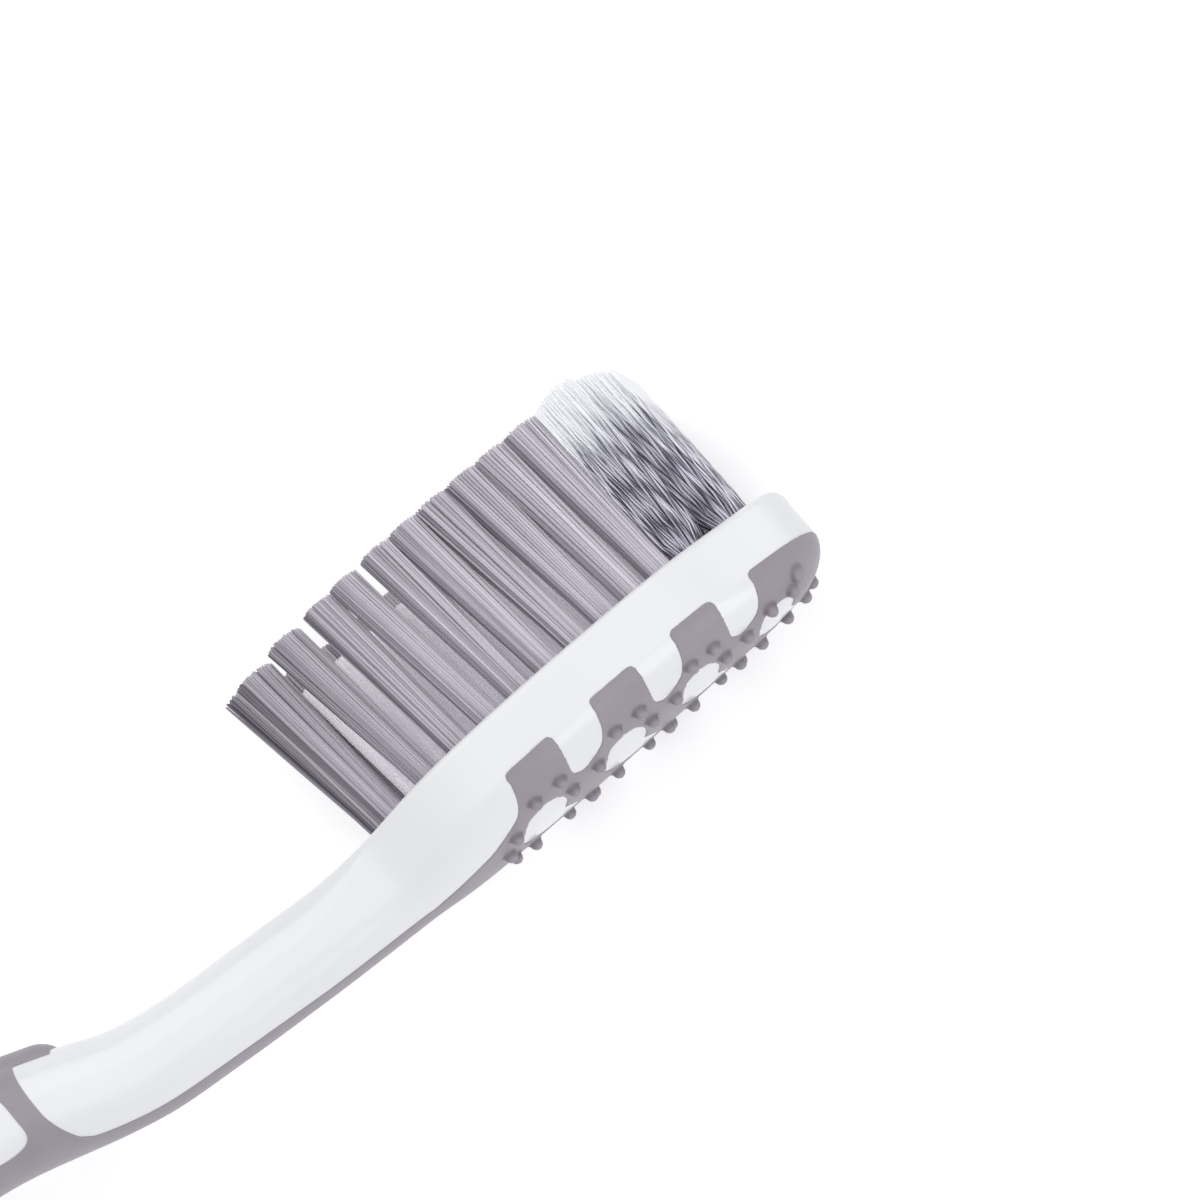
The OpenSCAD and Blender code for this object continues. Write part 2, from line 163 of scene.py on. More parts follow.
def curveAt(rows, place):
    i = 0
    while i + 2 < len(rows) and place >= rows[i + 1][0]:
        i += 1
    gap = rows[i + 1][0] - rows[i][0]
    t = clamp((place - rows[i][0]) / gap, 0, 1)
    return (
        rows[i][1] * (1 + 2 * t) * (1 - t) ** 2
        + rows[i + 1][1] * t * t * (3 - 2 * t)
        + gap * t * (1 - t) * ((1 - t) * slopeAt(rows, i) - t * slopeAt(rows, i + 1))
    )


# How far a rounded end has risen at a distance from its tip, from 0 to 1.
def nose(distance, radius):
    return math.sqrt(1 - clamp(1 - distance / radius, 0, 1) ** 2)


# A closed smooth curve through the points.
def roundedLoop(points, steps=5):
    loop = []
    count = len(points)
    for i in range(count):
        a, b, c, d = (Vector(points[(i + k) % count]) for k in (-1, 0, 1, 2))
        for k in range(steps):
            t = k / steps
            loop.append(0.5 * (
                2 * b + (c - a) * t + (2 * a - 5 * b + 4 * c - d) * t * t
                + (3 * b - a - 3 * c + d) * t ** 3
            ))
    return loop


# The white body: half widths from above, and middle line and thickness from the side.
body = {
    "length": 190, "headLength": 29, "neckLength": 21,
    "headWidth": 12.6, "neckWidth": 6, "headThickness": 5.4, "neckThickness": 5.5,
    "handleThickness": 11.5, "handleRise": 5.9, "waistShare": 0.3, "palmShare": 0.22,
    "faceEdge": 0.5, "toeRound": 3, "toeBackRound": 4.5, "tailRound": 5,
    "endFlat": 0.08,  # width of the small flat at each end, as a share of the width there
    "softProud": 0.06,  # how far the soft plastic stands over the body
    "headPlan": [
        (0, 0.46), (0.07, 0.5), (0.12, 0.59), (0.17, 0.71), (0.22, 0.8), (0.29, 0.88),
        (0.36, 0.925), (0.44, 0.965), (0.52, 0.995), (0.6, 1), (0.67, 0.99), (0.78, 0.925),
        (0.85, 0.84), (0.92, 0.69), (0.965, 0.58),
    ],
    "neckPlan": [(0, 1.06), (0.1, 1.005), (0.3, 1), (0.6, 1.01), (0.85, 1.03)],
    "handlePlan": [
        (0, 0.53), (0.05, 0.62), (0.11, 0.8), (0.17, 0.93), (0.22, 1), (0.43, 1), (0.64, 1),
        (0.75, 0.94), (0.9, 0.82), (1, 0.74),
    ],
    "headSide": [(0, -0.5, 1), (0.3, -0.5, 1), (0.6, -0.5, 1), (0.9, -0.5, 1)],
    "neckSide": [
        (0.03, -0.465, 0.955), (0.15, -0.437, 0.965), (0.4, -0.355, 1), (0.65, -0.271, 0.995),
        (0.85, -0.166, 1.036),
    ],
    "handleSide": [
        (0, 0.019, 0.549), (0.05, 0.412, 0.597), (0.11, 0.736, 0.782), (0.17, 0.92, 0.91),
        (0.25, 1, 1), (0.4, 0.96, 1), (0.55, 0.78, 0.95), (0.7, 0.46, 0.88),
        (0.85, 0.06, 0.8), (1, -0.4, 0.68),
    ],
    "fadeAngle": 26, "backLimit": 0.95,
    "topSteps": 3, "cornerSteps": 16, "sideSteps": 2, "backSteps": 12, "endSteps": 12,
}
headEnd = body["headLength"]
neckEnd = headEnd + body["neckLength"]
handleLength = body["length"] - neckEnd
halfWidth = body["headWidth"] / 2
waist = headEnd + body["neckLength"] * body["waistShare"]
palm = neckEnd + handleLength * body["palmShare"]

planRows = (
    [(headEnd * s, halfWidth * h) for s, h in body["headPlan"]]
    + [(headEnd + body["neckLength"] * s, body["neckWidth"] / 2 * h) for s, h in body["neckPlan"]]
    + [(neckEnd + handleLength * s, halfWidth * h) for s, h in body["handlePlan"]]
)
middleRows = (
    [(headEnd * s, body["headThickness"] * m) for s, m, t in body["headSide"]]
    + [(headEnd + body["neckLength"] * s, body["neckThickness"] * m) for s, m, t in body["neckSide"]]
    + [(neckEnd + handleLength * s, body["handleRise"] * m) for s, m, t in body["handleSide"]]
)
thicknessRows = (
    [(headEnd * s, body["headThickness"] * t) for s, m, t in body["headSide"]]
    + [(headEnd + body["neckLength"] * s, body["neckThickness"] * t) for s, m, t in body["neckSide"]]
    + [(neckEnd + handleLength * s, body["handleThickness"] * t) for s, m, t in body["handleSide"]]
)
tail = body["length"]
headFlat = headEnd * 0.9
flatRows = [(0, 1), (headFlat, 1), (waist, 0.03), (neckEnd, 0.06), (palm, 0.2), (tail, 0.1)]
sideTopRows = [(0, 0), (headFlat, 0), (waist, 0.46), (neckEnd, 0.45), (palm, 0.35), (tail, 0.44)]
sideLowRows = [(0, 0.54), (headEnd, 0.54), (waist, 0.5), (neckEnd, 0.52), (palm, 0.62), (tail, 0.52)]
sinkRows = [
    (0, 0), (headEnd * 0.85, 0), (headEnd * 1.1, body["softProud"]), (tail, body["softProud"]),
]


def planHalf(u):
    return curveAt(planRows, u)


def thickness(u):
    return curveAt(thicknessRows, u)


def topOf(u):
    return curveAt(middleRows, u) + thickness(u) / 2


def backOf(u):
    return curveAt(middleRows, u) - thickness(u) / 2


def sideLow(u):
    return topOf(u) - thickness(u) * curveAt(sideLowRows, u)


def backSurface(u, w):
    share = clamp(abs(w) / (planHalf(u) * nose(u, body["toeRound"])), 0, body["backLimit"])
    depth = (sideLow(u) - backOf(u)) * nose(u, body["toeBackRound"])
    return sideLow(u) - depth * math.sqrt(1 - share * share)


# One cross-section at u, as (w, v) points from the middle of the top round to the near side.
# The lift of the thumb pad fades towards the sides.
def sectionAt(u, inset, lift):
    tailEnd = max(nose(body["length"] - inset - u, body["tailRound"]), body["endFlat"])
    toeEnd = max(nose(u - inset, body["toeRound"]), body["endFlat"])
    tailDrop = (1 - tailEnd) * thickness(u) / 3  # the end of the tail is rounded more above than below
    half = (planHalf(u) - inset) * toeEnd * tailEnd
    edge = min(body["faceEdge"], half / 2)
    top = topOf(u) - inset - tailDrop
    top -= body["faceEdge"] * (1 - nose(u - inset, body["faceEdge"]))
    low = sideLow(u)
    backEnd = max(nose(u - inset, body["toeBackRound"]), body["endFlat"])
    back = low - (low - backOf(u) - inset) * backEnd * tailEnd
    flat = clamp(half * curveAt(flatRows, u), 0, half - edge)
    high = min(top - edge, topOf(u) - thickness(u) * curveAt(sideTopRows, u))
    right = [(flat * k / (body["topSteps"] + 1), top + lift) for k in range(1, body["topSteps"] + 1)]
    for k in range(body["cornerSteps"] + 1):
        turn = quarter * k / body["cornerSteps"]
        raised = lift * nose(body["fadeAngle"] - math.degrees(turn), body["fadeAngle"])
        across = flat + (half - flat) * math.sin(turn)
        right.append((across, high + (top - high) * math.cos(turn) + raised))
    for k in range(1, body["sideSteps"] + 1):
        right.append((half, high + (low - high) * k / (body["sideSteps"] + 1)))
    for k in range(body["backSteps"]):
        turn = quarter * k / body["backSteps"]
        right.append((half * math.cos(turn), low - (low - back) * math.sin(turn)))
    return [(0, top + lift)] + right + [(0, back)] + [(-w, v) for w, v in reversed(right)]


# Where the rings of points stand: close together at both ends, and wider apart on the handle.
def placesBetween(start, end, inset, gap, extra):
    count = body["endSteps"]
    shares = [1 - math.cos(quarter * k / count) for k in range(count)]
    toeEnd = [inset + body["toeRound"] * share for share in shares]
    tailEnd = [tail - inset - body["tailRound"] * share for share in shares]
    plain = []
    u = inset + body["toeRound"]
    while u < tail - inset - body["tailRound"] - gap / 2:
        plain.append(u)
        u += gap if u < neckEnd else 2 * gap
    places = [*toeEnd, *plain, *tailEnd, *extra]
    inside = sorted(u for u in places if start + closestPlaces < u < end - closestPlaces)
    return [start] + inside + [end]


# A closed skin through the sections: a ring of points, pushed out from place to place.
def loftBrush(name, start, end, insetAt, liftAt=None, gap=1.0, extra=()):
    places = placesBetween(start, end, insetAt(start if start < headEnd else end), gap, extra)
    count = len(sectionAt(headEnd, 0, 0))
    bpy.ops.mesh.primitive_circle_add(
        vertices=count, radius=1, location=(toeX - start, 0, 0), rotation=(0, quarter, 0)
    )
    skin = bpy.context.object
    skin.name = name
    applyPlace()
    editAll()
    for before, after in zip(places, places[1:]):
        extrudeBy((before - after, 0, 0))
    bpy.ops.object.mode_set(mode="OBJECT")
    rings = {}
    for vertex in skin.data.vertices:
        rings.setdefault(round((toeX - vertex.co.x) * ringsPerMm), []).append(vertex)
    for u in places:
        ring = rings[min(rings, key=lambda key: abs(key - u * ringsPerMm))]
        outline = sectionAt(u, insetAt(u), liftAt(u) if liftAt else 0)
        for vertex in ring:
            turn = math.atan2(vertex.co.z, vertex.co.y) % fullTurn
            w, v = outline[round(turn / fullTurn * count) % count]
            vertex.co = spot(u, v, w)
    editAll()
    bpy.ops.mesh.remove_doubles(threshold=mergeGap)
    bpy.ops.mesh.select_all(action="DESELECT")
    bpy.ops.mesh.select_mode(type="EDGE")
    bpy.ops.mesh.select_non_manifold(extend=False)
    bpy.ops.mesh.fill_holes(sides=0)
    facedOut()
    return skin


# A block with an outline seen from the side, (u, v), or from the back, (u, w).
def outlineBlock(points, near, far, seenFrom):
    bpy.ops.mesh.primitive_circle_add(vertices=len(points), radius=1)
    block = bpy.context.object
    for vertex, (u, other) in zip(block.data.vertices, points):
        vertex.co = spot(u, other, near) if seenFrom == "side" else spot(u, near, other)
    reach = far - near
    push = (0, 0, reach) if seenFrom == "side" else (0, reach, 0)
    editAll()
    bpy.ops.mesh.edge_face_add()
    extrudeBy(push)
    facedOut()
    return block


# The tufts, each with the place, hole and lean of its CAD node.
tufts = {
    "outerShares": [0.935, 0.831, 0.746, 0.668, 0.593, 0.522, 0.451, 0.382, 0.317, 0.255],
    "innerShares": [0.869, 0.793, 0.721, 0.648, 0.576, 0.503, 0.434, 0.362, 0.297],
    "tipShares": [(0.193, 0), (0.193, 0.63), (0.193, -0.63), (0.102, 0.456), (0.102, -0.456)],
    "heelShare": 0.974, "outerRim": 0.24, "innerRow": 0.238, "holeDepth": 3,
    "holes": {"outer": 1.6, "inner": 1.6, "tip": 1.9}, "holeSides": 40,
    "leans": {"outer": 6, "inner": 4, "tip": 2},
    "outerHeight": 10.85, "outerCrown": 0.25, "heelExtra": 0.4, "innerHeight": 8.6,
    "tipHeight": 11.4, "tipPeak": 0.164, "tipRound": 3.15,
    # how each outer tuft stands in the photograph, from the heel: lean, and spread of its tips
    "outerLeans": [5.8, 7.2, 5.6, 7.2, 5.6, 6.2, 6.6, 5.9, 5.7, 4.2],
    "outerSpreads": [1.5, 1.35, 1.25, 1.15, 1.45, 1.35, 1.42, 1.42, 1.38, 1.6],
    "spreads": {"inner": 1.36, "tip": 1.8, "heel": 1.8},
}


# Rows of (node, kind, u, w, lean, spread); the lean, in degrees, and spread are those of the bristles.
def tuftList():
    rows = []
    for k, share in enumerate(tufts["outerShares"]):
        u = headEnd * share
        w = planHalf(u) - halfWidth * tufts["outerRim"]
        look = (tufts["outerLeans"][k], tufts["outerSpreads"][k])
        rows.append((f"outer_tuft_near_{k + 1}", "outer", u, w, *look))
        rows.append((f"outer_tuft_far_{k + 1}", "outer", u, -w, *look))
    for k, share in enumerate(tufts["innerShares"]):
        w = halfWidth * tufts["innerRow"]
        look = (tufts["leans"]["inner"], tufts["spreads"]["inner"])
        rows.append((f"inner_tuft_near_{k + 1}", "inner", headEnd * share, w, *look))
        rows.append((f"inner_tuft_far_{k + 1}", "inner", headEnd * share, -w, *look))
    for k, (share, side) in enumerate(tufts["tipShares"]):
        u = headEnd * share
        look = (tufts["leans"]["tip"], tufts["spreads"]["tip"])
        rows.append((f"tip_tuft_{k + 1}", "tip", u, planHalf(u) * side, *look))
    look = (tufts["leans"]["outer"], tufts["spreads"]["heel"])
    rows.append(("heel_tuft", "outer", headEnd * tufts["heelShare"], 0, *look))
    return rows


# The height at which the bristles of a kind end.
def topLine(kind, u):
    if kind == "outer":
        return tufts["outerHeight"] + tufts["outerCrown"] * math.sin(math.pi * clamp(u / headEnd, 0, 1))
    if kind == "inner":
        return tufts["innerHeight"]
    return tufts["tipHeight"] - tufts["tipRound"] * (u / (headEnd * tufts["tipPeak"]) - 1) ** 2


def newMaterial(name):
    material = bpy.data.materials.new(name)
    material.use_nodes = True
    nodes = material.node_tree.nodes
    return material, nodes, material.node_tree.links, nodes["Principled BSDF"]


# Each of these adds nodes and returns the socket that their result comes out of.
def noiseOn(nodes, links, scale, detail=3.0, stretch=(1, 1, 1)):
    coords = nodes.new("ShaderNodeTexCoord")
    mapping = nodes.new("ShaderNodeMapping")
    mapping.inputs["Scale"].default_value = stretch
    noise = nodes.new("ShaderNodeTexNoise")
    noise.inputs["Scale"].default_value = scale
    noise.inputs["Detail"].default_value = detail
    links.new(coords.outputs["Object"], mapping.inputs["Vector"])
    links.new(mapping.outputs["Vector"], noise.inputs["Vector"])
    return noise.outputs["Fac"]


def rampOn(nodes, links, source, stops):
    ramp = nodes.new("ShaderNodeValToRGB")
    while len(ramp.color_ramp.elements) < len(stops):
        ramp.color_ramp.elements.new(0.5)
    for element, (place, colour) in zip(ramp.color_ramp.elements, stops):
        element.position = place
        element.color = (*colour, 1)
    links.new(source, ramp.inputs["Fac"])
    return ramp.outputs["Color"]


def rangeOn(nodes, links, source, low, high):
    spread = nodes.new("ShaderNodeMapRange")
    spread.inputs["To Min"].default_value = low
    spread.inputs["To Max"].default_value = high
    links.new(source, spread.inputs["Value"])
    return spread.outputs["Result"]


def bumpOn(nodes, links, source, shader, strength, distance):
    bump = nodes.new("ShaderNodeBump")
    bump.inputs["Strength"].default_value = strength
    bump.inputs["Distance"].default_value = distance
    links.new(source, bump.inputs["Height"])
    links.new(bump.outputs["Normal"], shader.inputs["Normal"])


def multiplied(nodes, links, first, second):
    blend = nodes.new("ShaderNodeMix")
    blend.data_type = "RGBA"
    blend.blend_type = "MULTIPLY"
    blend.inputs["Factor"].default_value = 1
    links.new(first, blend.inputs["A"])
    links.new(second, blend.inputs["B"])
    return blend.outputs["Result"]


def attributeOn(nodes, name):
    attribute = nodes.new("ShaderNodeAttribute")
    attribute.attribute_name = name
    return attribute.outputs["Fac"]


bodyFinish = {
    "pale": (0.83, 0.845, 0.875), "bright": (0.87, 0.88, 0.9), "cloudScale": 90,
    "roughLow": 0.16, "roughHigh": 0.28, "rubScale": 400,
    "grainScale": 700, "grainStrength": 0.05, "grainDepth": 0.00002,
    "coat": 0.25, "coatRough": 0.18,
}


def bodyPlastic():
    material, nodes, links, shader = newMaterial("glossyBodyPlastic")
    cloud = noiseOn(nodes, links, bodyFinish["cloudScale"], detail=2)
    colour = rampOn(nodes, links, cloud, [(0.3, bodyFinish["pale"]), (0.7, bodyFinish["bright"])])
    links.new(colour, shader.inputs["Base Color"])
    rubbed = noiseOn(nodes, links, bodyFinish["rubScale"], detail=4, stretch=(1, 2, 2))
    rough = rangeOn(nodes, links, rubbed, bodyFinish["roughLow"], bodyFinish["roughHigh"])
    links.new(rough, shader.inputs["Roughness"])
    grain = noiseOn(nodes, links, bodyFinish["grainScale"], detail=2)
    bumpOn(nodes, links, grain, shader, bodyFinish["grainStrength"], bodyFinish["grainDepth"])
    shader.inputs["Coat Weight"].default_value = bodyFinish["coat"]
    shader.inputs["Coat Roughness"].default_value = bodyFinish["coatRough"]
    return material


softFinish = {
    "dark": (0.3, 0.272, 0.312), "light": (0.332, 0.303, 0.345), "cloudScale": 260,
    # the foot colour is the painted shade in the creases round the nubs' feet
    "foot": (0.42, 0.42, 0.43), "roughLow": 0.42, "roughHigh": 0.56,
    "grainScale": 5200, "grainStrength": 0.12, "grainDepth": 0.00003,
    "sheen": 0.15, "sheenRough": 0.4,
}


def softPlastic():
    material, nodes, links, shader = newMaterial("satinSoftPlastic")
    cloud = noiseOn(nodes, links, softFinish["cloudScale"])
    colour = rampOn(nodes, links, cloud, [(0.32, softFinish["dark"]), (0.68, softFinish["light"])])
    # painted shade: the colour is darkened in the creases round the nubs' feet
    feet = attributeOn(nodes, "nubFoot")
    shade = rampOn(nodes, links, feet, [(0, (1, 1, 1)), (1, softFinish["foot"])])
    links.new(multiplied(nodes, links, colour, shade), shader.inputs["Base Color"])
    grain = noiseOn(nodes, links, softFinish["grainScale"], detail=2)
    rough = rangeOn(nodes, links, grain, softFinish["roughLow"], softFinish["roughHigh"])
    links.new(rough, shader.inputs["Roughness"])
    bumpOn(nodes, links, grain, shader, softFinish["grainStrength"], softFinish["grainDepth"])
    shader.inputs["Sheen Weight"].default_value = softFinish["sheen"]
    shader.inputs["Sheen Roughness"].default_value = softFinish["sheenRough"]
    return material


def mathOn(nodes, links, operation, first, second=None, third=None):
    step = nodes.new("ShaderNodeMath")
    step.operation = operation
    for socket, value in zip(step.inputs, (first, second, third)):
        if isinstance(value, (int, float)):
            socket.default_value = value
        elif value is not None:
            links.new(value, socket)
    return step.outputs[0]


# Stripes that wind round each strand, from the turn along it and the place around it.
def windingTone(nodes, links, tone, contrast):
    turn = attributeOn(nodes, "turn")
    sine = mathOn(nodes, links, "SINE", turn)
    cosine = mathOn(nodes, links, "COSINE", turn)
    first = mathOn(nodes, links, "MULTIPLY", sine, attributeOn(nodes, "aroundCos"))
    both = mathOn(nodes, links, "MULTIPLY_ADD", cosine, attributeOn(nodes, "aroundSin"), first)
    return mathOn(nodes, links, "MULTIPLY_ADD", both, contrast, tone)


strandFinish = {
    "roughLow": 0.29, "roughHigh": 0.42, "streakShade": (0.86, 0.86, 0.87), "streakScale": 900,
    "stripeContrast": 0.62, "whiteTip": (0.9, 0.913, 0.935),
}


def strandPlastic(name, stops, whiteTip=None):
    material, nodes, links, shader = newMaterial(name)
    tone = attributeOn(nodes, "tone")
    if whiteTip:
        tone = windingTone(nodes, links, tone, strandFinish["stripeContrast"])
    colour = rampOn(nodes, links, tone, stops)
    streak = noiseOn(nodes, links, strandFinish["streakScale"], stretch=(1, 0.12, 1))
    shade = rampOn(nodes, links, streak, [(0.3, strandFinish["streakShade"]), (0.7, (1, 1, 1))])
    colour = multiplied(nodes, links, colour, shade)
    if whiteTip:
        fade = nodes.new("ShaderNodeMix")
        fade.data_type = "RGBA"
        links.new(attributeOn(nodes, "whitening"), fade.inputs["Factor"])
        links.new(colour, fade.inputs["A"])
        fade.inputs["B"].default_value = (*whiteTip, 1)
        colour = fade.outputs["Result"]
    links.new(colour, shader.inputs["Base Color"])
    rough = rangeOn(nodes, links, streak, strandFinish["roughLow"], strandFinish["roughHigh"])
    links.new(rough, shader.inputs["Roughness"])
    return material


anchorFinish = {
    "dark": (0.5, 0.4, 0.2), "light": (0.7, 0.6, 0.36), "drawnScale": 4000,
    "roughLow": 0.22, "roughHigh": 0.4,
}


def anchorMetal():
    material, nodes, links, shader = newMaterial("drawnAnchorStrip")
    drawn = noiseOn(nodes, links, anchorFinish["drawnScale"], stretch=(1, 1, 0.05))
    colour = rampOn(nodes, links, drawn, [(0.3, anchorFinish["dark"]), (0.7, anchorFinish["light"])])
    links.new(colour, shader.inputs["Base Color"])
    rough = rangeOn(nodes, links, drawn, anchorFinish["roughLow"], anchorFinish["roughHigh"])
    links.new(rough, shader.inputs["Roughness"])
    shader.inputs["Metallic"].default_value = 1
    return material


print("stage: body")


# How far the body's skin is sunk, so that the soft plastic stands a little proud of it.
def bodySink(u):
    return curveAt(sinkRows, u)


def buildBody():
    skin = loftBrush("body", 0, body["length"], bodySink)
    withModifier(skin, "SUBSURF", levels=1, render_levels=1)
    drills = []
    for _, kind, u, w, _, _ in tuftList():
        bpy.ops.mesh.primitive_cylinder_add(
            vertices=tufts["holeSides"], radius=tufts["holes"][kind] / 2,
            depth=tufts["holeDepth"] + past, location=(0, 0, 0), rotation=(-quarter, 0, 0),
        )
        drill = bpy.context.object
        applyPlace()
        drill.location = (0, (past - tufts["holeDepth"]) / 2, 0)
        applyPlace()
        drill.rotation_euler = (0, 0, math.radians(tufts["leans"][kind]))
        drill.location = spot(u, 0, w)
        applyPlace()
        drills.append(drill)
    cutWith(skin, joined(drills))
    return finishPiece(skin, "whiteBody", ["handle"], bodyPlastic(), smoothAngle=32)


whiteBody = buildBody()

print("stage: tongue cleaner")
cleaner = {
    "softThickness": 0.8, "pitch": 6.05, "shrink": 0.92, "cells": 4, "firstTab": 20.6,
    "firstWindow": 23.5, "toeWindowShift": 0.5, "tabDrop": 3.15, "tabShare": 0.54, "tabCorner": 0.35,
    "stripeHalf": 1.0,
    # a nub's size, and its foot, side, round and flat end as shares of its half width
    "nubWidth": 0.8, "nubHeight": 0.6, "nubSides": 20,
    "nubFoot": 1.08, "nubSide": 0.92, "nubRound": 0.85, "nubFlat": 0.12,
    "footShadeReach": 0.4, "footShadeHeight": 0.45,  # how far out and up the painted shade round a nub's foot reaches
    # how the edges are rounded: size of the remeshed grain, rounds of smoothing, share of the faces
    # that stay, and how much smoothing takes off
    "grain": 0.09, "passes": 3, "facesKept": 0.5, "spare": 0.07,
    "intoGrip": 0.6,  # how far the cleaner runs into the grip, so that no seam shows
    # outlines and nubs, in rows of (share of a cell's length, share of the half width)
    "heelWeb": [(0.66, 0.38), (0.465, 0.41), (0.33, 0.487), (0.19, 0.588)],
    "scallop": [(-0.49, 0.476), (-0.28, 0.571)],
    "tabHeel": [(-0.175, 0.65), (-0.088, 0.778), (-0.026, 0.905), (0, 0.984), (0, 1.3)],
    "tabToe": [(0.54, 1.3), (0.54, 0.984), (0.488, 0.794), (0.426, 0.571), (0.461, 0.5)],
    "drop": [
        (0.08, 0), (0.167, 0.2), (0.227, 0.3), (0.29, 0.385), (0.4, 0.44), (0.526, 0.46),
        (0.63, 0.4), (0.67, 0.28), (0.655, 0.16), (0.61, 0.05), (0.585, 0),
    ],
    "nubs": [(0.117, 0.37), (0.49, 0.645), (0.787, 0.635), (0.79, 0.336)],
    "toeNubs": [(0.117, 0.37), (0.526, 0.52), (0.85, 0.47), (1.01, 0.6)],
    "heelNubs": [(-0.066, 0.11)],
}


def cellLength(k):
    return cleaner["pitch"] * cleaner["shrink"] ** k


def cellStart(first, k):
    return first - sum(cellLength(i) for i in range(k))


def cellRows(rows, first, k):
    places = [(cellStart(first, k) - cellLength(k) * s, h) for s, h in rows]
    return [(u, planHalf(u) * h) for u, h in places]


def mirroredLoop(points):
    return points + [(u, -w) for u, w in reversed(points) if w != 0]


# The outer face of the soft plastic, and the core that is cut out of it.
def softSkin(name, start, end, lift=None, gap=1.0, extra=()):
    return loftBrush(name, start, end, lambda u: bodySink(u) - body["softProud"], lift, gap, extra)


def softCore(start, end):
    return loftBrush("core", start, end, lambda u: cleaner["softThickness"])


def cleanerOutline():
    span = headEnd - cleaner["firstTab"]
    heel = [(cleaner["firstTab"] + span * s, h) for s, h in cleaner["heelWeb"]]
    points = [(headEnd + past, cleaner["stripeHalf"]), (headEnd, cleaner["stripeHalf"])]
    points += [(u, planHalf(u) * h) for u, h in heel]
    for k in range(cleaner["cells"]):
        if k > 0:
            points += cellRows(cleaner["scallop"], cleaner["firstTab"], k)
        points += cellRows(cleaner["tabHeel"], cleaner["firstTab"] + cleaner["spare"], k)
        if k < cleaner["cells"] - 1:
            points += cellRows(cleaner["tabToe"], cleaner["firstTab"] - cleaner["spare"], k)
    points.append((-past, halfWidth + past))
    return mirroredLoop(points)


def cornerArc(u, v, radius, start):
    turns = [math.radians(start + step) for step in range(0, 91, 15)]
    return [(u + radius * math.cos(turn), v + radius * math.sin(turn)) for turn in turns]


# The tabs seen from the side, with their upper corners rounded.
def tabOutline():
    radius = cleaner["tabCorner"]
    top = -cleaner["tabDrop"] + cleaner["spare"]
    points = [(headEnd + past, top - radius)]
    for k in range(cleaner["cells"]):
        heel = cellStart(cleaner["firstTab"], k) + cleaner["spare"]
        points += cornerArc(heel - radius, top - radius, radius, 0)
        if k == cleaner["cells"] - 1:
            continue
        toe = heel - cleaner["tabShare"] * cellLength(k) - 2 * cleaner["spare"]
        points += cornerArc(toe + radius, top - radius, radius, 90)
    points += [(-past, top), (-past, past - blockReach), (headEnd + past, past - blockReach)]
    return points


# A nub: a short tapered post with a round end, pointing down along y, modelled once.
def modelNub():
    radius = cleaner["nubWidth"] / 2
    side, dome = radius * cleaner["nubSide"], radius * cleaner["nubRound"]
    post = cleaner["nubHeight"] - dome
    bpy.ops.mesh.primitive_circle_add(
        vertices=cleaner["nubSides"], radius=radius * cleaner["nubFoot"], fill_type="NGON",
        location=(0, cleaner["softThickness"] / 2, 0), rotation=(quarter, 0, 0),
    )
    nub = bpy.context.object
    applyPlace()
    editAll()
    size, depth = radius * cleaner["nubFoot"], -cleaner["softThickness"] / 2
    steps = [(post, side)]
    for turn in (quarter * k / 5 for k in range(1, 5)):
        steps.append((post + dome * math.sin(turn), side * math.cos(turn)))
    steps.append((cleaner["nubHeight"], radius * cleaner["nubFlat"]))
    for reach, width in steps:
        extrudeBy((0, depth - reach, 0))
        bpy.ops.transform.resize(value=(width / size, 1, width / size), center_override=(0, 0, 0))
        size, depth = width, reach
    facedOut()
    return nub


# Brings points that lie past the CAD box back to it.
def keptInBox(piece):
    low, high = cadBox
    for vertex in piece.data.vertices:
        vertex.co = [clamp(vertex.co[i], low[i] / mm, high[i] / mm) for i in range(3)]


# Rounds the edges as moulding does.
def softened(piece):
    withModifier(piece, "REMESH", mode="VOXEL", voxel_size=cleaner["grain"], use_smooth_shade=True)
    withModifier(piece, "SMOOTH", factor=0.5, iterations=cleaner["passes"])
    withModifier(piece, "DECIMATE", ratio=cleaner["facesKept"])
    keptInBox(piece)


# How near each point is to the foot of a nub, from 0 to 1: painted shade that darkens the soft plastic in the
# crease round each nub.
def paintNubFootShade(piece, places):
    feet = np.array([[toeX - u, middleZ + w * side] for u, w in places for side in (1, -1)])
    points = np.array([(vertex.co.x, vertex.co.z) for vertex in piece.data.vertices])
    away = np.linalg.norm(points[:, None, :] - feet[None, :, :], axis=2).min(axis=1)
    radius = cleaner["nubWidth"] / 2
    ring = np.clip(1 - (away - radius) / (radius * cleaner["footShadeReach"]), 0, 1)
    for i in np.nonzero(ring)[0]:
        x, y, z = piece.data.vertices[int(i)].co
        out = backSurface(toeX - x, z - middleZ) - (y - faceY)
        ring[i] *= clamp(1 - out / cleaner["footShadeHeight"], 0, 1)
    piece.data.attributes.new("nubFoot", "FLOAT", "POINT").data.foreach_set("value", ring)


